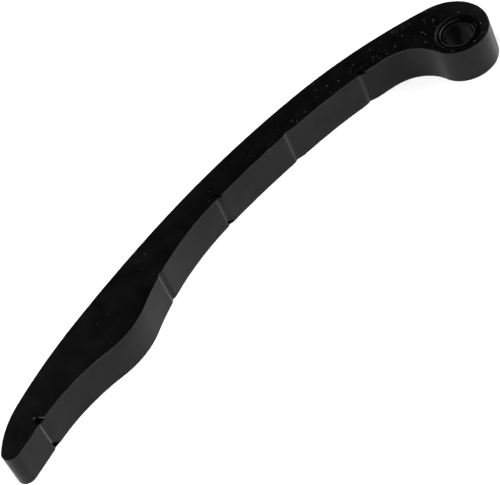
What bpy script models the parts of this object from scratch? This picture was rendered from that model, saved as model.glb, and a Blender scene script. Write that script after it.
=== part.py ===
"""Timing chain guide: a moulded blade that swings on a pivot sleeve and leans on the chain.

Metres, +Z up. The guide lies on one of its two flat side faces. +X runs along the blade towards
the pivot eye, +Y points out of the bowed chain face, and the origin is the middle of the guide's
box, on the lower side face. The outline is drawn about the pivot axis, as arcs that meet tangent.
"""
from collections import namedtuple
from math import acos, atan2, ceil, cos, degrees, pi, radians, sin, sqrt

import bmesh
import bpy
from mathutils import Vector

# Blade: width is between the side faces, depth is from the chain face to the back edge
BLADE_WIDTH = 0.0100
BLADE_DEPTH = 0.0086
EDGE_RADIUS = 0.0003

# Pivot eye: its round underside sits a little off the pivot axis, fuller towards the chain
EYE_RADIUS = 0.0082
EYE_SHIFT_X = 0.0002
EYE_SHIFT_Y = 0.0004
NOSE_RADIUS = 0.0115
NOSE_START = -44.0
NOSE_TURN = 112.8
NECK_RADIUS = 0.0115

# Chain face, from the eye to the tip: the radius of each arc, and the degrees it turns through
EYE_END_RADIUS, EYE_END_TURN = 0.136, 17.5
MIDDLE_RADIUS, MIDDLE_TURN = 0.252, 10.9
FLAT_RADIUS, FLAT_TURN = 0.385, 5.1
TIP_END_RADIUS, TIP_END_TURN = 0.157, 9.2
SHOULDER_RADIUS = 0.0265
TIP_RADIUS = 0.0026

# Tensioner pad on the back edge: the distance from the pivot where it starts, then its arcs
PAD_START = 0.0728
PAD_FLANK_RADIUS, PAD_FLANK_TURN = 0.078, 25.7
PAD_CROWN_RADIUS, PAD_CROWN_TURN = 0.0225, 37.1
PAD_TAIL_RADIUS, PAD_TAIL_TURN = 0.055, 24.3

# Cross grooves in the back edge, each at a distance from the pivot. From the eye's side a groove is
# a long ramp down to its depth, a steep wall that rises again and, where that isn't all the way, a
# shoulder that eases back to the edge. pocket is the depth of the pin pocket in the upper side face,
# and socket the height of the pin socket in the back edge, against its lower rim.
Groove = namedtuple("Groove", "distance depth ramp wall rise shoulder pocket socket")
GROOVES = (
    Groove(0.0243, 0.00052, 0.0022, 0.0007, 0.00034, 0.0018, 0.0009, 0.0),
    Groove(0.0486, 0.00045, 0.0022, 0.0007, 0.00034, 0.0008, 0.0, 0.0),
    Groove(0.0731, 0.00032, 0.0012, 0.0007, 0.00032, 0.0, 0.0006, 0.0017),
    Groove(0.0975, 0.00040, 0.0012, 0.0007, 0.00030, 0.0004, 0.0, 0.0),
    Groove(0.1440, 0.00032, 0.0022, 0.0006, 0.00032, 0.0, 0.0009, 0.0025),
)
# How far from a groove's ends the edge's own points start again
GROOVE_CLEAR = 0.00035

# Marks that the mould's pins leave just before a groove's wall. A pocket narrows and deepens away
# from the back edge. A socket is a three-cornered hollow, tallest on the wall's side, which is
# SOCKET_SIDE away from the pin's middle.
PIN_SHIFT = 0.00085
PIN_CLEAR = 0.0010
POCKET_MOUTH = 0.0024
POCKET_END = 0.0013
POCKET_REACH = 0.0022
POCKET_LIP = 0.00025
SOCKET_SIDE = 0.0010
SOCKET_WIDTH = 0.0026
SOCKET_REACH = 0.0014
SOCKET_LIP = 0.00016
SOCKET_DRAFT = 0.75

# Pivot sleeve, and the bore and recess that hold it
SLEEVE_BORE_RADIUS = 0.0040
SLEEVE_WALL = 0.0010
SLEEVE_INSET = 0.0003
SLEEVE_LAND = 0.00012
SLEEVE_MOUTH_DEPTH = 0.00070
SLEEVE_GAP = 0.0003
RECESS_WALL = 0.00055
RECESS_DEPTH = 0.0007
RECESS_BREAK = 0.00012

# Fineness: how far a facet may lie from its arc, and the facets round a turned piece
FACET_SAG = 0.000006
TURNED_STEPS = 96
EDGE_STEPS = 3

SLEEVE_RADIUS = SLEEVE_BORE_RADIUS + SLEEVE_WALL
BLADE_BORE_RADIUS = SLEEVE_RADIUS + SLEEVE_GAP
RECESS_RADIUS = BLADE_BORE_RADIUS + RECESS_WALL


def heading(angle):
    """The unit vector at an angle in degrees."""
    return Vector((cos(radians(angle)), sin(radians(angle))))


def angle_of(vector):
    return degrees(atan2(vector.y, vector.x)) % 360


class Arc:
    """Part of a circle: it starts at an angle about its centre and turns, anticlockwise if positive."""

    def __init__(self, centre, radius, start, turn):
        self.centre, self.radius, self.start, self.turn = centre, radius, start, turn

    def at(self, angle):
        return self.centre + self.radius * heading(angle)

    def end(self):
        return self.at(self.start + self.turn)

    def points(self):
        step = 2 * acos(1 - FACET_SAG / self.radius)
        count = max(2, ceil(abs(radians(self.turn)) / step))
        return [self.at(self.start + self.turn * i / count) for i in range(count + 1)]

    def stretched(self, change):
        """The parallel arc, larger by this change of radius."""
        return Arc(self.centre, self.radius + change, self.start, self.turn)

    def followed_by(self, radius, turn):
        """The next arc, tangent to this one. It bends the other way where turn changes sign."""
        last = self.start + self.turn
        if turn * self.turn > 0:
            return Arc(self.end() - radius * heading(last), radius, last, turn)
        return Arc(self.end() + radius * heading(last), radius, last + 180, turn)


def chain_face_arcs():
    """The nose round the eye and the chain face, up to the tip's shoulder."""
    eye_centre = Vector((EYE_SHIFT_X, EYE_SHIFT_Y))
    nose_centre = eye_centre - (NOSE_RADIUS - EYE_RADIUS) * heading(NOSE_START)
    arcs = [Arc(nose_centre, NOSE_RADIUS, NOSE_START, NOSE_TURN)]
    for radius, turn in (
        (EYE_END_RADIUS, EYE_END_TURN),
        (MIDDLE_RADIUS, MIDDLE_TURN),
        (FLAT_RADIUS, FLAT_TURN),
        (TIP_END_RADIUS, TIP_END_TURN),
    ):
        arcs.append(arcs[-1].followed_by(radius, turn))
    return arcs


def neck_arc(eye_centre, first_back_arc):
    """The fillet between the eye and the back edge, which runs from the eye up to the back edge."""
    apart = first_back_arc.centre - eye_centre
    from_eye = EYE_RADIUS + NECK_RADIUS
    from_back = first_back_arc.radius - NECK_RADIUS
    along = (from_eye**2 - from_back**2 + apart.length_squared) / (2 * apart.length)
    across = sqrt(from_eye**2 - along**2)
    toward = apart.normalized()
    centre = eye_centre + along * toward + across * Vector((toward.y, -toward.x))
    start = angle_of(eye_centre - centre)
    stop = angle_of(centre - first_back_arc.centre)
    return Arc(centre, NECK_RADIUS, start, (stop - start) % 360)


def back_edge_arcs(face):
    """The back edge from the eye to the pad's tail: parallel to the chain face, then the pad."""
    slim = [arc.stretched(-BLADE_DEPTH) for arc in face[1:]]
    neck = neck_arc(Vector((EYE_SHIFT_X, EYE_SHIFT_Y)), slim[0])
    neck_stop = neck.start + neck.turn
    slim[0].turn -= neck_stop % 360 - slim[0].start
    slim[0].start = neck_stop % 360
    arcs = [neck]
    for arc in slim:
        arcs.append(arc)
        if arc.end().x < -PAD_START:
            arc.turn = degrees(acos((-PAD_START - arc.centre.x) / arc.radius)) - arc.start
            break
    arcs.append(arcs[-1].followed_by(PAD_FLANK_RADIUS, PAD_FLANK_TURN))
    arcs.append(arcs[-1].followed_by(PAD_CROWN_RADIUS, -PAD_CROWN_TURN))
    arcs.append(arcs[-1].followed_by(PAD_TAIL_RADIUS, PAD_TAIL_TURN))
    return arcs


def tip_arcs(face, back):
    """The shoulder that ends the chain face, and the tip that rounds it into the straight tail."""
    shoulder = face[-1].followed_by(SHOULDER_RADIUS, 1)
    tail_start = back[-1].end()
    tail_angle = back[-1].start + back[-1].turn
    tail_heading = heading(tail_angle + 90)
    inset = tail_start + TIP_RADIUS * heading(tail_angle) - shoulder.centre
    middle = inset.dot(tail_heading)
    reach = sqrt(middle**2 - inset.length_squared + (SHOULDER_RADIUS - TIP_RADIUS) ** 2) - middle
    centre = shoulder.centre + inset + reach * tail_heading
    meeting = angle_of(centre - shoulder.centre)
    shoulder.turn = meeting - shoulder.start
    return shoulder, Arc(centre, TIP_RADIUS, meeting, (tail_angle + 180 - meeting) % 360)


def joined(arcs):
    """The points of arcs that follow one another, with each meeting point once."""
    points = arcs[0].points()
    for arc in arcs[1:]:
        points += arc.points()[1:]
    return points


def run_of(points):
    """The length from the first point to each point."""
    run = [0.0]
    for before, after in zip(points, points[1:]):
        run.append(run[-1] + (after - before).length)
    return run


def point_at(points, run, length):
    """The point at a length along a line of points, and the direction there."""
    i = next((k for k in range(1, len(run) - 1) if run[k] > length), len(run) - 1)
    share = (length - run[i - 1]) / (run[i] - run[i - 1])
    return points[i - 1].lerp(points[i], share), (points[i] - points[i - 1]).normalized()


def length_at(points, run, distance):
    """The length along the back edge at a distance from the pivot along X."""
    i = next(k for k in range(1, len(points)) if points[k].x < -distance)
    share = (points[i - 1].x + distance) / (points[i - 1].x - points[i].x)
    return run[i - 1] + share * (run[i] - run[i - 1])


def grooved(edge):
    """The back edge, from eye to tip, with its cross grooves."""
    run = run_of(edge)
    result = []
    kept_to = 0.0
    for groove in GROOVES:
        middle = length_at(edge, run, groove.distance)
        ramp = middle - groove.wall / 2 - groove.ramp
        bottom, direction = point_at(edge, run, middle - groove.wall / 2)
        inward = Vector((direction.y, -direction.x))
        result += [p for p, s in zip(edge, run) if kept_to <= s < ramp - GROOVE_CLEAR]
        result.append(point_at(edge, run, ramp)[0])
        result.append(bottom + groove.depth * inward)
        if groove.shoulder:
            top = point_at(edge, run, middle + groove.wall / 2)[0]
            result.append(top + (groove.depth - groove.rise) * inward)
        crest = middle + groove.wall / 2 + groove.shoulder
        result.append(point_at(edge, run, crest)[0])
        kept_to = crest + GROOVE_CLEAR
    return result + [p for p, s in zip(edge, run) if s >= kept_to]


def mesh_object(name, mesh_maker):
    """A new object whose mesh the maker fills in, closed and with its faces pointing out."""
    mesh = bpy.data.meshes.new(name)
    shape = bmesh.new()
    mesh_maker(shape)
    bmesh.ops.recalc_face_normals(shape, faces=shape.faces)
    shape.to_mesh(mesh)
    shape.free()
    obj = bpy.data.objects.new(name, mesh)
    bpy.context.scene.collection.objects.link(obj)
    return obj


def extruded(outline):
    """Makes the blade from its outline, with both rims rounded, middle plane at Z = 0."""

    def fill(shape):
        lower = [shape.verts.new((p.x, p.y, -BLADE_WIDTH / 2)) for p in outline]
        face = shape.faces.new(lower)
        grown = bmesh.ops.extrude_face_region(shape, geom=[face])
        upper = [part for part in grown["geom"] if isinstance(part, bmesh.types.BMVert)]
        bmesh.ops.translate(shape, verts=upper, vec=(0, 0, BLADE_WIDTH))
        rims = [e for e in shape.edges if abs(e.verts[0].co.z - e.verts[1].co.z) < EDGE_RADIUS]
        bmesh.ops.bevel(
            shape, geom=rims, offset=EDGE_RADIUS, segments=EDGE_STEPS, profile=0.5, affect="EDGES"
        )

    return fill


def turned(profile):
    """Makes a solid of revolution about Z from a closed profile of (radius, height) points."""

    def fill(shape):
        ring = [shape.verts.new((radius, 0, height)) for radius, height in profile]
        edges = [shape.edges.new((a, b)) for a, b in zip(ring, ring[1:] + ring[:1])]
        bmesh.ops.spin(
            shape,
            geom=ring + edges,
            cent=(0, 0, 0),
            axis=(0, 0, 1),
            angle=2 * pi,
            steps=TURNED_STEPS,
            use_merge=True,
        )

    return fill


def mirrored(profile):
    """A profile's upper half, from the inside out, and the same below the middle plane."""
    return profile + [(radius, -height) for radius, height in reversed(profile)]


def sleeve_profile():
    end = BLADE_WIDTH / 2 - SLEEVE_INSET
    return mirrored(
        [
            (SLEEVE_BORE_RADIUS, end - SLEEVE_MOUTH_DEPTH),
            (SLEEVE_RADIUS - 2 * SLEEVE_LAND, end),
            (SLEEVE_RADIUS - SLEEVE_LAND, end),
            (SLEEVE_RADIUS, end - SLEEVE_LAND),
        ]
    )


def eye_cutter(shape):
    """Fills the shape with what the sleeve's bore and its recess in both side faces take away."""
    face = BLADE_WIDTH / 2
    profile = [
        (0, face + RECESS_DEPTH),
        (RECESS_RADIUS + RECESS_BREAK + RECESS_DEPTH, face + RECESS_DEPTH),
        (RECESS_RADIUS, face - RECESS_BREAK),
        (RECESS_RADIUS, face - RECESS_DEPTH),
        (BLADE_BORE_RADIUS, face - RECESS_DEPTH),
    ]
    rings = [
        [
            shape.verts.new((radius * cos(turn), radius * sin(turn), height))
            for turn in (2 * pi * i / TURNED_STEPS for i in range(TURNED_STEPS))
        ]
        for radius, height in mirrored(profile)[1:-1]
    ]
    for above, below in zip(rings, rings[1:]):
        for i in range(TURNED_STEPS):
            j = (i + 1) % TURNED_STEPS
            shape.faces.new((above[i], above[j], below[j], below[i]))
    shape.faces.new(rings[0])
    shape.faces.new(rings[-1])


def hull(points):
    """Makes the convex solid round a set of points."""

    def fill(shape):
        bmesh.ops.convex_hull(shape, input=[shape.verts.new(point) for point in points])

    return fill


def pocket_cutter(place, direction, depth):
    """Makes the wedge that a pin leaves in the upper side face, next to the back edge."""
    inward = Vector((direction.y, -direction.x))
    flare = (POCKET_MOUTH - POCKET_END) / POCKET_REACH * PIN_CLEAR
    mouth = place - inward * PIN_CLEAR
    end = place + inward * POCKET_REACH
    face = BLADE_WIDTH / 2
    points = []
    for middle, width, floor in ((mouth, POCKET_MOUTH + flare, POCKET_LIP), (end, POCKET_END, depth)):
        for side in (middle - direction * width / 2, middle + direction * width / 2):
            points += [(*side, face - floor), (*side, face + PIN_CLEAR)]
    return hull(points)


def socket_cutter(place, direction, height):
    """Makes the three-cornered hollow that a pin leaves in the back edge, against its lower rim."""
    inward = Vector((direction.y, -direction.x))
    reach = PIN_CLEAR + SOCKET_REACH
    far = SOCKET_SIDE - SOCKET_WIDTH
    mouth = [(far, SOCKET_LIP), (SOCKET_SIDE, SOCKET_LIP), (SOCKET_SIDE, height)]
    middle = [sum(values) / 3 for values in zip(*mouth)]
    points = []
    for along, up in mouth:
        points.append((along, -PIN_CLEAR, up))
        ends = [m + SOCKET_DRAFT * (v - m) for v, m in zip((along, up), middle)]
        points.append((ends[0], reach - PIN_CLEAR, ends[1]))
    return hull(
        [
            (*(place + direction * along + inward * into), up - BLADE_WIDTH / 2)
            for along, into, up in points
        ]
    )


def material(name, colour, roughness, metallic):
    new = bpy.data.materials.new(name)
    new.use_nodes = True
    shader = new.node_tree.nodes["Principled BSDF"]
    shader.inputs["Base Color"].default_value = (*colour, 1)
    shader.inputs["Roughness"].default_value = roughness
    shader.inputs["Metallic"].default_value = metallic
    new.diffuse_color = (*colour, 1)
    return new


def cut(obj, cutter):
    """Takes the cutter away from the object, and keeps it as a hidden guide."""
    cutter.parent = obj
    cutter.hide_render = True
    cutter.display_type = "WIRE"
    boolean = obj.modifiers.new(cutter.name, "BOOLEAN")
    boolean.operation = "DIFFERENCE"
    boolean.solver = "EXACT"
    boolean.object = cutter


def make_blade(outline, back_edge):
    """The moulding: outline, rounded rims, sleeve bore, recesses and pin pockets."""
    blade = mesh_object("guide_blade", extruded(outline))
    cut(blade, mesh_object("sleeve_bore", eye_cutter))
    run = run_of(back_edge)
    for number, groove in enumerate(GROOVES, 1):
        middle = length_at(back_edge, run, groove.distance)
        place, direction = point_at(back_edge, run, middle - PIN_SHIFT)
        if groove.pocket:
            pocket = pocket_cutter(place, direction, groove.pocket)
            cut(blade, mesh_object(f"pin_pocket_{number}", pocket))
        if groove.socket:
            socket = socket_cutter(place, direction, groove.socket)
            cut(blade, mesh_object(f"pin_socket_{number}", socket))
    return blade


def main():
    for obj in list(bpy.data.objects):
        bpy.data.objects.remove(obj, do_unlink=True)

    face = chain_face_arcs()
    back = back_edge_arcs(face)
    shoulder, tip = tip_arcs(face, back)
    eye_centre = Vector((EYE_SHIFT_X, EYE_SHIFT_Y))
    eye_start = back[0].start + 180
    eye = Arc(eye_centre, EYE_RADIUS, eye_start, 360 + NOSE_START - eye_start)
    back_edge = joined(back) + [tip.end()]
    outline = joined([eye, *face, shoulder, tip])[:-1] + grooved(back_edge)[:0:-1]

    xs, ys = [p.x for p in outline], [p.y for p in outline]
    pivot = bpy.data.objects.new("pivot_axis", None)
    pivot.empty_display_size = SLEEVE_RADIUS
    pivot.location = (-(min(xs) + max(xs)) / 2, -(min(ys) + max(ys)) / 2, BLADE_WIDTH / 2)
    bpy.context.scene.collection.objects.link(pivot)

    blade = make_blade(outline, back_edge)
    blade.data.materials.append(material("black_moulding", (0.012, 0.012, 0.013), 0.55, 0.0))
    sleeve = mesh_object("pivot_sleeve", turned(sleeve_profile()))
    sleeve.data.materials.append(material("blackened_steel", (0.05, 0.05, 0.052), 0.35, 1.0))
    for obj in (blade, sleeve):
        obj.parent = pivot
        obj.data.shade_smooth()
        obj.data.set_sharp_from_angle(angle=radians(25))


main()
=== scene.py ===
"""Timing chain guide: a black moulded blade with a blackened steel pivot sleeve.

The guide lies on one side face on a pale floor, in soft studio light. Metres, +Z up.
"""
from math import radians

import bmesh
import bpy
from mathutils import Euler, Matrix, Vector
from mathutils.bvhtree import BVHTree


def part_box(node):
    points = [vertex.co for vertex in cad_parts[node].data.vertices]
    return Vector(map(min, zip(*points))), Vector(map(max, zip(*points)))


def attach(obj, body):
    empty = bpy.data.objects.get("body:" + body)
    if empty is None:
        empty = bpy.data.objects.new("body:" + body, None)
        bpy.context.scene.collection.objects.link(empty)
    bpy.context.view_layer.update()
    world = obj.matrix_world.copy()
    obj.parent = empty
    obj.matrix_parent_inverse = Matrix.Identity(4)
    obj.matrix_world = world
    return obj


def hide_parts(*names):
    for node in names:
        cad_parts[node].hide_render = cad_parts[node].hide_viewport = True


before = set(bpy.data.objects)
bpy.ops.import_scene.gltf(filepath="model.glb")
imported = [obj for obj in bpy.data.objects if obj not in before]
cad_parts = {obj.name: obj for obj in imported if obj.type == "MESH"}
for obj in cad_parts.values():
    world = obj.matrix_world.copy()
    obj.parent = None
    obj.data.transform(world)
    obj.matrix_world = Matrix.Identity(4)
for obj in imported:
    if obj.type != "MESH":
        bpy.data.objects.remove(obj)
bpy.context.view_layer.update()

# Vertices this close become one, and so do faces that meet at less than this many degrees
MERGE_DISTANCE = 0.000002
FLAT_ANGLE = 0.05
# Edges sharper than this many degrees stay crisp
BLADE_SHARP_ANGLE = 12
SLEEVE_SHARP_ANGLE = 30
# How much large faces lead the shading, where 50 is evenly
LARGE_FACES_LEAD = 80
# The moulding's rims are rounded this wide, and drawn in to this share of it here
RIM_WIDTH = 0.0003
RIM_SHARE = 0.3
# A rim reaches a little further than its width, so that its last vertices count too
RIM_REACH = RIM_WIDTH * 1.02
# The crown of both side faces: they fall away over this width, by this depth at the rim
CROWN_WIDTH = 0.0050
CROWN_DEPTH = 0.00008
# How far apart the cuts are that let a side face bend, and how close to its height its faces lie
CUT_STEP_X = 0.0020
CUT_STEP_Y = 0.0006
SIDE_FACE_REACH = 0.00001
# Walls nearer the pivot than this share of the sleeve's width belong to the eye's inside
EYE_INSIDE_SHARE = 0.7
# How far a normal may point up or down on a wall, and how far at least on a level face
WALL_NORMAL_Z = 0.5
LEVEL_NORMAL_Z = 0.999

# How softly one finish passes into the next
EDGE_BLUR = 0.0001
# Nearer the pivot than this, the moulding is matt: the recess and its broken rim
RECESS_RIM = 0.00610
# The painted highlight on the outer rims begins this far outside it
RIM_HIGHLIGHT_CLEARANCE = 0.0004
# The broken rim's ring that is painted lighter as a highlight, from its inner to its outer radius
PAINTED_RING = (0.0056, 0.0061)
# The moulding's rims are painted grey as a highlight between these depths below the side faces, and how
# softly
RIM_BAND_LOW = 0.00020
RIM_BAND_LOW_BLUR = 0.00004
RIM_BAND_HIGH = 0.00008
RIM_BAND_HIGH_BLUR = 0.00002
# How deep the sleeve's chamfered mouths are, and how far below its ends its lands begin and are full
MOUTH_DEPTH = 0.0007
LAND_START = 0.00010
LAND_FULL = 0.00004
# Directions from the pivot, in degrees: away from the lit arcs, and towards the nose.
# Along each are the stretches over which something changes, from the pivot's axis on
AWAY_FROM_ARCS = -30
SHINE_FADES = (-0.003, 0.002)
RIM_HIGHLIGHT_FADES = (-0.003, -0.001)
RING_HIGHLIGHT_FADES = (-0.0050, -0.0038)
NOSE = -20
NOSE_PAINTED_LIGHTER = (0.001, 0.008)
NOSE_DULLS = (0.0060, 0.0084)
# The same for the sleeve: across the bore's painted reflections, and away from its lands' painted
# highlights
ACROSS_BORE_REFLECTION = -25
REFLECTION_LEFT_ENDS = (-0.0026, -0.0008)
REFLECTION_RIGHT_BEGINS = (0.0006, 0.0021)
AWAY_FROM_LAND_HIGHLIGHTS = -60
LAND_HIGHLIGHT_FADES = (-0.0048, -0.0038)
# And up the bore, from the pivot's middle
REFLECTION_DIMS = (-0.002, 0.005)
# How much finer the turned rings are up the bore than round it
RING_FINENESS = 40
# The stretch of a noise pattern that is spread over a finish's range
NOISE_MIDDLE = (0.35, 0.65)
NOISE_WIDE = (0.3, 0.7)
NOISE_NARROW = (0.40, 0.60)
NOISE_UPPER = (0.46, 0.74)

# Dust specks lie in cells, this many to a metre
DUST_CELLS = 1500
# Along the blade, dust begins to thicken, thickens faster, and is thickest
DUST_START_X = -0.040
DUST_MIDDLE_X = 0.035
DUST_END_X = 0.070
# Specks lighten between these places, and fade out between these shares of a cell
DUST_LIGHTENS = (0, 0.060)
SPECK_EDGE = (0.17, 0.27)

# Painted glints: the middle, the turn in degrees, the length, the width, and the strength from 0 to 1.
# They lie on the wall of the groove nearest the tip, and on the side and end of the pocket beside it
TIP_GLINTS = (
    ((-0.07085, -0.00905, 0.0005), -45, 0.0007, 0.0006, 0.7),
    ((-0.0693, -0.0081, 0.0097), -52, 0.0019, 0.0003, 1),
    ((-0.0706, -0.0067, 0.0097), -20, 0.0005, 0.0004, 1),
)
# The same for the walls of the other four grooves, from the tip on
GROOVE_GLINTS = (
    ((-0.0244, 0.0004, 0.0003), 30, 0.0012, 0.003, 0.17),
    ((0.0001, 0.0062, 0.0005), 5, 0.0014, 0.003, 0.11),
    ((0.0246, 0.0070, 0.0003), 0, 0.0015, 0.003, 0.12),
    ((0.0490, 0.0048, 0.0003), 0, 0.0015, 0.003, 0.14),
)
# A painted glint is whole out to this share of its size, to each side
GLINT_CORE = 0.3
# Groove glints stop this far below the side face, and are whole this far below it
GLINT_STOP = 0.00016
GLINT_WHOLE = 0.00024

# Each lamp's name, azimuth and elevation in degrees, distance, width, height, and watts
SOFTBOXES = (
    ("front_softbox", -112, 55, 1.6, 1.4, 1.0, 30),
    ("right_softbox", -25, 32, 1.4, 1.15, 0.85, 14),
    ("left_softbox", -165, 30, 1.2, 0.7, 0.5, 4),
    ("far_left_softbox", 150, 25, 1.2, 0.7, 0.5, 4),
    ("back_softbox", 75, 7, 1.6, 2.0, 0.22, 3.2),
    ("tip_softbox", 110, 9, 1.3, 0.7, 0.25, 24),
)
FLOOR_SIZE = 6

# The camera: its lens and sensor in millimetres, its place, and its turn in degrees
LENS = 155.42
SENSOR_WIDTH = 36
CAMERA_PLACE = (-0.14266, -0.35548, 0.36917)
CAMERA_TURN = (42.511, 19.076, -41.537)
NEAREST_SEEN = 0.01
FARTHEST_SEEN = 20


def grey(level):
    """A grey as Blender takes it, from black at 0 to white at 1 in linear light."""
    return (level, level, level, 1)


# The moulding's colours
MOULDING_BLACK = grey(0.0002)
MOULDING_CLOUD = grey(0.0014)
# Painted lighter tone towards the nose, standing in for the light there
MOULDING_PAINTED_NOSE_LIGHT = grey(0.0036)
# Painted highlight on a ring of the recess's broken rim
MOULDING_PAINTED_RING_HIGHLIGHT = grey(0.013)
# Painted highlight on the rims
MOULDING_PAINTED_RIM_HIGHLIGHT = grey(0.034)
# Painted glints on the groove walls and the tip's pocket
MOULDING_PAINTED_GLINT = grey(0.07)
DUST_COLOUR = (0.095, 0.095, 0.093, 1)
# The sleeve's colours
BORE_BLACK = grey(0.0020)
# Painted reflection deep in the bore
BORE_PAINTED_REFLECTION = (0.0420, 0.0420, 0.0425, 1)
# Painted shade in the chamfered mouths
MOUTH_PAINTED_SHADE = grey(0.0006)
# Painted highlight on an arc of each land
LAND_PAINTED_HIGHLIGHT = grey(0.032)
# The studio's
FLOOR_COLOUR = grey(0.95)
ROOM_COLOUR = grey(0.02)


# Pieces

def merged_copy(node, name):
    """A copy of a CAD node, active and selected, with its triangles merged and its flat faces whole."""
    bpy.ops.object.select_all(action="DESELECT")
    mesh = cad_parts[node].data.copy()
    piece = bpy.data.objects.new(name, mesh)
    bpy.context.scene.collection.objects.link(piece)
    bpy.context.view_layer.objects.active = piece
    piece.select_set(True)
    bpy.ops.object.mode_set(mode="EDIT")
    bpy.ops.mesh.select_all(action="SELECT")
    bpy.ops.mesh.remove_doubles(threshold=MERGE_DISTANCE)
    bpy.ops.mesh.customdata_custom_splitnormals_clear()
    bpy.ops.mesh.dissolve_limited(angle_limit=radians(FLAT_ANGLE))
    bpy.ops.object.mode_set(mode="OBJECT")
    return piece


def apply(piece, modifier):
    bpy.context.view_layer.objects.active = piece
    bpy.ops.object.modifier_apply(modifier=modifier.name)


def shaded(piece, sharp_angle):
    """Smooth over its curves and crisp at its edges."""
    bpy.ops.object.shade_smooth_by_angle(angle=radians(sharp_angle))
    weighted = piece.modifiers.new("weighted_normals", "WEIGHTED_NORMAL")
    weighted.keep_sharp = True
    weighted.weight = LARGE_FACES_LEAD
    apply(piece, weighted)


def finished(piece, material):
    """Gives a piece one material all over."""
    piece.data.materials.clear()
    piece.data.materials.append(material)


def outer_walls(piece):
    """The walls of the outline, to measure from. The walls round the sleeve aren't among them."""
    sleeve_low, sleeve_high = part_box("pivot_sleeve")
    axis = (Vector(sleeve_low) + Vector(sleeve_high)) / 2
    eye_inside = (sleeve_high[0] - sleeve_low[0]) * EYE_INSIDE_SHARE
    walls = [
        tuple(face.vertices)
        for face in piece.data.polygons
        if abs(face.normal.z) < WALL_NORMAL_Z and (face.center - axis).xy.length > eye_inside
    ]
    return BVHTree.FromPolygons([vertex.co for vertex in piece.data.vertices], walls)


def rims_drawn_in(piece):
    """Makes the rounded rims of both side faces tighter, towards the corner that they round."""
    low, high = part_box("guide_blade")
    middle = (low[2] + high[2]) / 2
    outline = outer_walls(piece)
    moved = []
    for vertex in piece.data.vertices:
        side = high[2] if vertex.co.z > middle else low[2]
        depth = abs(vertex.co.z - side)
        nearest, _, _, inward = outline.find_nearest(Vector((vertex.co.x, vertex.co.y, middle)))
        if max(depth, inward) < RIM_REACH:
            place = nearest.lerp(vertex.co, RIM_SHARE)
            place.z = side + (vertex.co.z - side) * RIM_SHARE
            moved.append((vertex, place))
    for vertex, place in moved:
        vertex.co = place


def side_faces_cut(piece, axis, step):
    """Cuts both side faces across, at even steps along an axis."""
    low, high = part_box("guide_blade")
    normal = [0, 0, 0]
    normal[axis] = 1
    bpy.ops.object.mode_set(mode="EDIT")
    bpy.ops.mesh.select_mode(type="FACE")
    for number in range(1, int((high[axis] - low[axis]) / step)):
        shape = bmesh.from_edit_mesh(piece.data)
        for face in shape.faces:
            height = face.calc_center_median().z
            at_side = min(height - low[2], high[2] - height) < SIDE_FACE_REACH
            face.select_set(at_side and abs(face.normal.z) > LEVEL_NORMAL_Z)
        bmesh.update_edit_mesh(piece.data)
        place = [0, 0, 0]
        place[axis] = low[axis] + number * step
        bpy.ops.mesh.bisect(plane_co=place, plane_no=normal)
    bpy.ops.object.mode_set(mode="OBJECT")


def crowned(piece):
    """Lets both side faces fall away gently towards the outline, as the moulding's do."""
    low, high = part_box("guide_blade")
    middle = (low[2] + high[2]) / 2
    side_faces_cut(piece, 0, CUT_STEP_X)
    side_faces_cut(piece, 1, CUT_STEP_Y)
    outline = outer_walls(piece)
    upper = piece.vertex_groups.new(name="upper_crown")
    lower = piece.vertex_groups.new(name="lower_crown")
    for vertex in piece.data.vertices:
        distance = outline.find_nearest(Vector((vertex.co.x, vertex.co.y, middle)))[3]
        weight = max(0, 1 - distance / CROWN_WIDTH) ** 2
        (upper if vertex.co.z > middle else lower).add([vertex.index], weight, "REPLACE")
    # A group's own variable goes stale once a modifier is applied, so the groups go by name here
    for name, depth in (("upper_crown", -CROWN_DEPTH), ("lower_crown", CROWN_DEPTH)):
        fall = piece.modifiers.new(name, "DISPLACE")
        fall.direction = "Z"
        fall.mid_level = 0
        fall.strength = depth
        fall.vertex_group = name
        apply(piece, fall)
    piece.vertex_groups.clear()


# Materials

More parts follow.
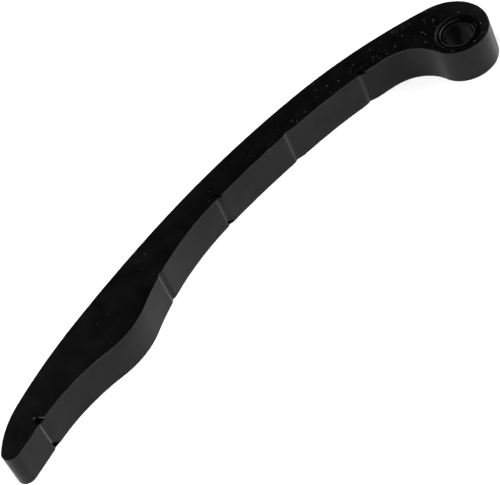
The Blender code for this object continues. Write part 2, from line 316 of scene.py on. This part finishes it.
class Surface:
    """A material's nodes. Its patterns lie on the object's own coordinates, in metres."""

    def __init__(self, name):
        self.material = bpy.data.materials.new(name)
        self.material.use_nodes = True
        self.nodes = self.material.node_tree.nodes
        self.shader = self.nodes["Principled BSDF"].inputs
        self.place = self.nodes.new("ShaderNodeTexCoord").outputs["Object"]

    def feed(self, socket, value):
        """Gives a socket a number, a colour, or what another socket says."""
        if isinstance(value, bpy.types.NodeSocket):
            self.material.node_tree.links.new(value, socket)
        else:
            socket.default_value = value

    def noise(self, per_metre, detail, place=None):
        """A noise pattern from 0 to 1."""
        texture = self.nodes.new("ShaderNodeTexNoise")
        self.feed(texture.inputs["Scale"], per_metre)
        self.feed(texture.inputs["Detail"], detail)
        self.feed(texture.inputs["Vector"], self.place if place is None else place)
        return texture.outputs["Fac"]

    def ranged(self, value, start, end, at_start, at_end):
        """A value spread from one range onto another, and held at its ends."""
        spread = self.nodes.new("ShaderNodeMapRange")
        self.feed(spread.inputs["Value"], value)
        self.feed(spread.inputs["From Min"], start)
        self.feed(spread.inputs["From Max"], end)
        self.feed(spread.inputs["To Min"], at_start)
        self.feed(spread.inputs["To Max"], at_end)
        return spread.outputs["Result"]

    def rising(self, value, start, end):
        """0 up to the start, and 1 from the end on."""
        return self.ranged(value, start, end, at_start=0, at_end=1)

    def falling(self, value, start, end):
        """1 up to the start, and 0 from the end on."""
        return self.ranged(value, start, end, at_start=1, at_end=0)

    def mixed(self, share, first, second):
        """Two colours mixed: the first where the share is 0, and the second where it is 1."""
        mix = self.nodes.new("ShaderNodeMix")
        mix.data_type = "RGBA"
        self.feed(mix.inputs["Factor"], share)
        # A Mix node has several sockets of one name, so its colours go in and out by number
        self.feed(mix.inputs[6], first)
        self.feed(mix.inputs[7], second)
        return mix.outputs[2]

    def maths(self, operation, *values):
        """Values, or values and numbers, put together by one operation."""
        step = self.nodes.new("ShaderNodeMath")
        step.operation = operation
        for socket, value in zip(step.inputs, values):
            self.feed(socket, value)
        return step.outputs[0]

    def times(self, result, *others):
        """The product of some values."""
        for other in others:
            result = self.maths("MULTIPLY", result, other)
        return result

    def most(self, result, *others):
        """The greatest of some values."""
        for other in others:
            result = self.maths("MAXIMUM", result, other)
        return result

    def apart(self, vector):
        """A vector's three parts."""
        parts = self.nodes.new("ShaderNodeSeparateXYZ")
        self.feed(parts.inputs["Vector"], vector)
        return parts.outputs

    def seen_from(self, middle, turned=0):
        """Where a point is, seen from another, with its axes turned by some degrees."""
        moved = self.nodes.new("ShaderNodeMapping")
        moved.vector_type = "TEXTURE"
        self.feed(moved.inputs["Location"], middle)
        self.feed(moved.inputs["Rotation"], (0, 0, radians(turned)))
        self.feed(moved.inputs["Vector"], self.place)
        return self.apart(moved.outputs["Vector"])

    def from_pivot(self, turned=0):
        """Where a point is, seen from the middle of the pivot."""
        low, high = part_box("pivot_sleeve")
        middle = [(first + second) / 2 for first, second in zip(low, high)]
        return self.seen_from(middle, turned)

    def past_pivot(self, azimuth):
        """How far a point lies past the pivot axis towards an azimuth in degrees."""
        return self.from_pivot(azimuth)["X"]

    def pivot_distance(self):
        """How far a point is from the pivot axis."""
        seen = self.from_pivot()
        squares = [self.times(seen[axis], seen[axis]) for axis in ("X", "Y")]
        return self.maths("SQRT", self.maths("ADD", *squares))

    def height_from_middle(self, node):
        """How far a point is above or below a node's middle, and how far the node's ends are."""
        low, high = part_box(node)
        from_middle = self.maths("SUBTRACT", self.apart(self.place)["Z"], (low[2] + high[2]) / 2)
        return self.maths("ABSOLUTE", from_middle), (high[2] - low[2]) / 2

    def bumped(self, height, distance, strength, under=None):
        """The surface's normal with a bump on it, and over another bump where there is one."""
        bump = self.nodes.new("ShaderNodeBump")
        self.feed(bump.inputs["Height"], height)
        self.feed(bump.inputs["Distance"], distance)
        self.feed(bump.inputs["Strength"], strength)
        if under is not None:
            self.feed(bump.inputs["Normal"], under)
        return bump.outputs["Normal"]


def dust(surface, on_faces):
    """Where specks of dust lie, from 0 to 1: few at the tip, and most of them round the eye."""
    cells = surface.nodes.new("ShaderNodeTexVoronoi")
    cells.feature = "F1"
    surface.feed(cells.inputs["Scale"], DUST_CELLS)
    surface.feed(cells.inputs["Randomness"], 1)
    surface.feed(cells.inputs["Vector"], surface.place)
    chance = surface.nodes.new("ShaderNodeSeparateColor")
    surface.feed(chance.inputs["Color"], cells.outputs["Color"])
    along = surface.apart(surface.place)["X"]

    share = surface.ranged(along, DUST_START_X, DUST_MIDDLE_X, at_start=0.06, at_end=0.22)
    more = surface.ranged(along, DUST_MIDDLE_X, DUST_END_X, at_start=0, at_end=0.30)
    settled = surface.ranged(on_faces, 0, 1, at_start=0.03, at_end=1)
    allowed = surface.times(surface.maths("ADD", share, more), settled)
    there = surface.maths("LESS_THAN", chance.outputs["Red"], allowed)
    smallness = surface.ranged(chance.outputs["Green"], 0, 1, at_start=0.8, at_end=2.2)
    speck = surface.falling(surface.times(cells.outputs["Distance"], smallness), *SPECK_EDGE)
    strength = surface.ranged(chance.outputs["Blue"], 0, 1, at_start=0.10, at_end=1)
    lighter = surface.ranged(along, *DUST_LIGHTENS, at_start=0.5, at_end=1)
    return surface.times(speck, strength, lighter, there)


def painted_rim_highlights(surface, height, face, eye_distance):
    """Where the moulding's outer rims get a painted highlight, from 0 to 1, just short of both side
    faces.
    """
    above = surface.rising(height, face - RIM_BAND_LOW, face - RIM_BAND_LOW + RIM_BAND_LOW_BLUR)
    below = surface.falling(height, face - RIM_BAND_HIGH - RIM_BAND_HIGH_BLUR, face - RIM_BAND_HIGH)
    outside = surface.rising(eye_distance, RECESS_RIM, RECESS_RIM + RIM_HIGHLIGHT_CLEARANCE)
    away = surface.past_pivot(AWAY_FROM_ARCS)
    lit_side = surface.ranged(away, *RIM_HIGHLIGHT_FADES, at_start=0.8, at_end=0)
    patches = surface.noise(per_metre=300, detail=3)
    patches = surface.ranged(patches, *NOISE_MIDDLE, at_start=0.3, at_end=1)
    return surface.times(above, below, surface.most(outside, lit_side), patches)


def painted_glint(surface, middle, turned, length, width):
    """A short straight painted glint through a point, from 0 to 1, above the height of that point."""
    seen = surface.seen_from(middle, turned)
    within = [
        surface.falling(surface.maths("ABSOLUTE", seen[axis]), size * GLINT_CORE, size / 2)
        for axis, size in (("X", length), ("Y", width))
    ]
    return surface.times(*within, surface.rising(seen["Z"], 0, EDGE_BLUR))


def painted_glints(surface, height, face):
    """Where the moulding gets painted glints, from 0 to 1: at the walls of the grooves and the tip's
    pocket.
    """
    below_face = surface.falling(height, face - GLINT_WHOLE, face - GLINT_STOP)
    marks = [surface.times(painted_glint(surface, *shape), strength) for *shape, strength in TIP_GLINTS]
    marks += [
        surface.times(painted_glint(surface, *shape), below_face, strength)
        for *shape, strength in GROOVE_GLINTS
    ]
    return surface.most(*marks)


def moulding_colour(surface, height, face, eye_distance):
    """Clouded black, painted lighter towards the nose, with painted highlights on its rims, on a ring of
    the recess's rim and as glints, and dusty.
    """
    cloud = surface.rising(surface.noise(per_metre=110, detail=4), *NOISE_UPPER)
    nose = surface.rising(surface.past_pivot(NOSE), *NOSE_PAINTED_LIGHTER)
    ring_inside, ring_outside = PAINTED_RING
    ring_highlight = surface.times(
        surface.rising(eye_distance, ring_inside, ring_inside + EDGE_BLUR),
        surface.falling(eye_distance, ring_outside - EDGE_BLUR, ring_outside),
        surface.falling(surface.past_pivot(AWAY_FROM_ARCS), *RING_HIGHLIGHT_FADES),
    )
    on_faces = surface.rising(height, face - RIM_BAND_HIGH - RIM_BAND_HIGH_BLUR, face - RIM_BAND_HIGH)

    colour = surface.mixed(cloud, MOULDING_BLACK, MOULDING_CLOUD)
    # The moulding is painted lighter towards the nose, as painted light
    colour = surface.mixed(nose, colour, MOULDING_PAINTED_NOSE_LIGHT)
    # The rims are painted grey, as a highlight
    colour = surface.mixed(painted_rim_highlights(surface, height, face, eye_distance), colour, MOULDING_PAINTED_RIM_HIGHLIGHT)
    # Glints are painted lighter on the groove walls and the tip's pocket
    colour = surface.mixed(painted_glints(surface, height, face), colour, MOULDING_PAINTED_GLINT)
    # The ring is painted lighter, as a highlight on its lit arc
    colour = surface.mixed(ring_highlight, colour, MOULDING_PAINTED_RING_HIGHLIGHT)
    return surface.mixed(dust(surface, on_faces), colour, DUST_COLOUR)


def moulding_roughness(surface, height, face, eye_distance):
    """Satin, but matt in the recess and on the wall of the nose."""
    satin = surface.noise(per_metre=260, detail=5)
    satin = surface.ranged(satin, *NOISE_WIDE, at_start=0.27, at_end=0.33)
    recess = surface.ranged(eye_distance, RECESS_RIM, RECESS_RIM + EDGE_BLUR, at_start=0.5, at_end=0)
    on_walls = surface.falling(height, face - RIM_BAND_LOW, face - RIM_BAND_HIGH)
    nose = surface.ranged(surface.past_pivot(NOSE), *NOSE_DULLS, at_start=0, at_end=0.75)
    return surface.most(satin, recess, surface.times(nose, on_walls))


def moulding_shine(surface, eye_distance):
    """Mottled outside the recess, and in the recess only where it faces the light."""
    away = surface.past_pivot(AWAY_FROM_ARCS)
    lit_side = surface.ranged(away, *SHINE_FADES, at_start=0.30, at_end=0.01)
    outside = surface.rising(eye_distance, RECESS_RIM, RECESS_RIM + EDGE_BLUR)
    mottled = surface.noise(per_metre=130, detail=2)
    mottled = surface.ranged(mottled, *NOISE_MIDDLE, at_start=0.45, at_end=0.54)
    return surface.most(lit_side, surface.times(outside, mottled))


def moulded_black():
    """Black moulded rubber: satin, faintly grained, with slow waves from the mould and a little dust."""
    surface = Surface("moulded_black")
    height, face = surface.height_from_middle("guide_blade")
    eye_distance = surface.pivot_distance()
    surface.feed(surface.shader["Base Color"], moulding_colour(surface, height, face, eye_distance))
    surface.feed(surface.shader["Roughness"], moulding_roughness(surface, height, face, eye_distance))
    surface.feed(surface.shader["Specular IOR Level"], moulding_shine(surface, eye_distance))
    surface.feed(surface.shader["IOR"], 1.27)
    waves = surface.bumped(surface.noise(per_metre=95, detail=2), distance=0.00006, strength=0.35)
    grain = surface.noise(per_metre=4200, detail=3)
    grained = surface.bumped(grain, distance=0.000012, strength=0.35, under=waves)
    surface.feed(surface.shader["Normal"], grained)
    return surface.material


def sleeve_colour(surface, past_bore, on_land):
    """Painted reflections deep in the bore, mouths painted darker as shade, and a painted highlight on
    an arc of each land.
    """
    across = surface.past_pivot(ACROSS_BORE_REFLECTION)
    right_reflection = surface.rising(across, *REFLECTION_RIGHT_BEGINS)
    left_reflection = surface.ranged(across, *REFLECTION_LEFT_ENDS, at_start=0.4, at_end=0)
    patches = surface.times(
        surface.ranged(surface.noise(per_metre=500, detail=3), *NOISE_NARROW, at_start=0.4, at_end=1),
        surface.most(right_reflection, left_reflection),
        surface.ranged(surface.from_pivot()["Z"], *REFLECTION_DIMS, at_start=1, at_end=0.05),
    )
    land_highlight = surface.falling(surface.past_pivot(AWAY_FROM_LAND_HIGHLIGHTS), *LAND_HIGHLIGHT_FADES)

    # Patches deep in the bore are painted lighter, as reflections
    colour = surface.mixed(patches, BORE_BLACK, BORE_PAINTED_REFLECTION)
    # The mouths are painted darker, as shade
    colour = surface.mixed(past_bore, colour, MOUTH_PAINTED_SHADE)
    # An arc of each land is painted grey, as a highlight
    return surface.mixed(surface.times(on_land, land_highlight), colour, LAND_PAINTED_HIGHLIGHT)


def blackened_steel():
    """Turned steel, blackened: matt in the mouths, with painted reflections deep in the bore, and fine
    rings round it.
    """
    surface = Surface("blackened_steel")
    height, end = surface.height_from_middle("pivot_sleeve")
    past_bore = surface.rising(height, end - MOUTH_DEPTH, end - MOUTH_DEPTH + EDGE_BLUR)
    on_land = surface.rising(height, end - LAND_START, end - LAND_FULL)
    mouth = surface.times(past_bore, surface.falling(height, end - LAND_START, end - LAND_FULL))
    surface.feed(surface.shader["Base Color"], sleeve_colour(surface, past_bore, on_land))

    away = surface.past_pivot(AWAY_FROM_ARCS)
    lit_side = surface.ranged(away, *SHINE_FADES, at_start=0.70, at_end=0.02)
    bore_shine = surface.ranged(past_bore, 0, 1, at_start=0.20, at_end=0)
    end_shine = surface.times(lit_side, past_bore)
    dulled = surface.ranged(mouth, 0, 1, at_start=1, at_end=0.03)
    shine = surface.times(surface.most(bore_shine, end_shine), dulled)
    surface.feed(surface.shader["Specular IOR Level"], shine)
    surface.feed(surface.shader["IOR"], 1.32)

    marks = surface.noise(per_metre=900, detail=4)
    turned = surface.ranged(marks, *NOISE_WIDE, at_start=0.36, at_end=0.48)
    surface.feed(surface.shader["Roughness"], surface.most(turned, surface.times(mouth, 0.75)))
    pressed = surface.nodes.new("ShaderNodeMapping")
    surface.feed(pressed.inputs["Scale"], (1, 1, RING_FINENESS))
    surface.feed(pressed.inputs["Vector"], surface.place)
    rings = surface.noise(per_metre=300, detail=4, place=pressed.outputs["Vector"])
    surface.feed(surface.shader["Normal"], surface.bumped(rings, distance=0.00001, strength=0.4))
    return surface.material


def pale_floor():
    """A matt white floor."""
    made = bpy.data.materials.new("pale_floor")
    made.use_nodes = True
    shader = made.node_tree.nodes["Principled BSDF"].inputs
    shader["Base Color"].default_value = FLOOR_COLOUR
    shader["Roughness"].default_value = 0.8
    shader["IOR"].default_value = 1.2
    return made


# Studio

def softbox(name, azimuth, elevation, distance, width, height, watts):
    """A soft rectangular lamp that faces the guide from a direction in degrees."""
    lamp = bpy.data.lights.new(name, "AREA")
    lamp.shape = "RECTANGLE"
    lamp.size = width
    lamp.size_y = height
    lamp.energy = watts
    toward = Euler((0, radians(90 - elevation), radians(azimuth))).to_matrix() @ Vector((0, 0, 1))
    box = bpy.data.objects.new(name, lamp)
    box.location = toward * distance
    box.rotation_euler = toward.to_track_quat("Z", "Y").to_euler()
    bpy.context.scene.collection.objects.link(box)


def studio():
    """A pale floor, six soft lamps, and a dim room round them."""
    bpy.ops.object.select_all(action="DESELECT")
    bpy.ops.mesh.primitive_plane_add(size=FLOOR_SIZE, location=(0, 0, 0))
    floor = bpy.context.object
    floor.name = "studio_floor"
    floor.data.materials.append(pale_floor())

    for lamp in SOFTBOXES:
        softbox(*lamp)

    world = bpy.data.worlds.new("dim_studio")
    world.use_nodes = True
    room = world.node_tree.nodes["Background"].inputs
    room["Color"].default_value = ROOM_COLOUR
    room["Strength"].default_value = 1
    bpy.context.scene.world = world
    bpy.context.scene.view_settings.view_transform = "Standard"


def camera():
    """The camera, at the photograph's viewing angle."""
    view = bpy.data.cameras.new("photo_view")
    view.sensor_width = SENSOR_WIDTH
    view.lens = LENS
    view.clip_start = NEAREST_SEEN
    view.clip_end = FARTHEST_SEEN
    eye = bpy.data.objects.new("photo_view", view)
    eye.location = CAMERA_PLACE
    eye.rotation_euler = [radians(turn) for turn in CAMERA_TURN]
    bpy.context.scene.collection.objects.link(eye)
    bpy.context.scene.camera = eye


camera()

blade = merged_copy("guide_blade", "blade_moulding")
rims_drawn_in(blade)
crowned(blade)
shaded(blade, BLADE_SHARP_ANGLE)
finished(blade, moulded_black())
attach(blade, "root")
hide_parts("guide_blade")

sleeve = merged_copy("pivot_sleeve", "sleeve_turning")
shaded(sleeve, SLEEVE_SHARP_ANGLE)
finished(sleeve, blackened_steel())
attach(sleeve, "root")
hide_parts("pivot_sleeve")

studio()
